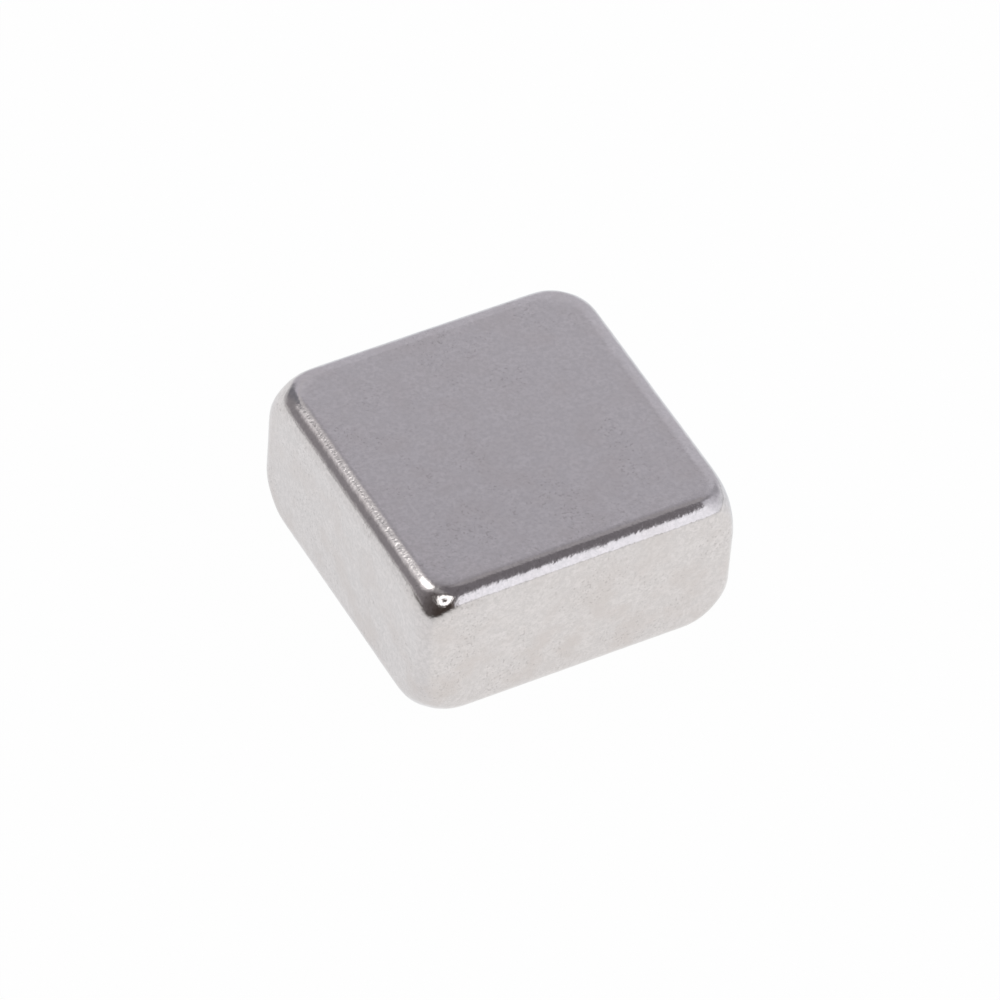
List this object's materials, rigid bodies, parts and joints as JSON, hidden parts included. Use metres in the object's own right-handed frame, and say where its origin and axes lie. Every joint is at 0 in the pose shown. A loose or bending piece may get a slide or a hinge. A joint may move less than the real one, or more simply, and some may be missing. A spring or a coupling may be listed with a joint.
{
  "type": "block magnet",
  "caption": "Flat square neodymium block magnet with rounded edges and worn corners, nickel-copper-nickel plated all over, magnetised through its thickness.",
  "frame": {"origin": "middle of the lower pole face, which the block stands on", "axes": "+X and +Y along the 10 mm sides, +Z through the 5 mm thickness, which is the direction of magnetisation"},
  "size_m": [0.01, 0.01, 0.005],
  "materials": {
    "bright_nickel": "bright electroplated nickel over a tumbled block: smooth, softly mirror-like, slightly mottled, with a beaded edge",
    "copper": "matte electroplated copper",
    "matte_nickel": "dull electroplated nickel",
    "sintered_magnet": "tumbled sintered alloy, dark grey and finely grained"
  },
  "bodies": {
    "root": {"outer_nickel_layer": "bright_nickel", "copper_layer": "copper", "inner_nickel_layer": "matte_nickel", "magnet_core": "sintered_magnet"}
  },
  "joints": []
}
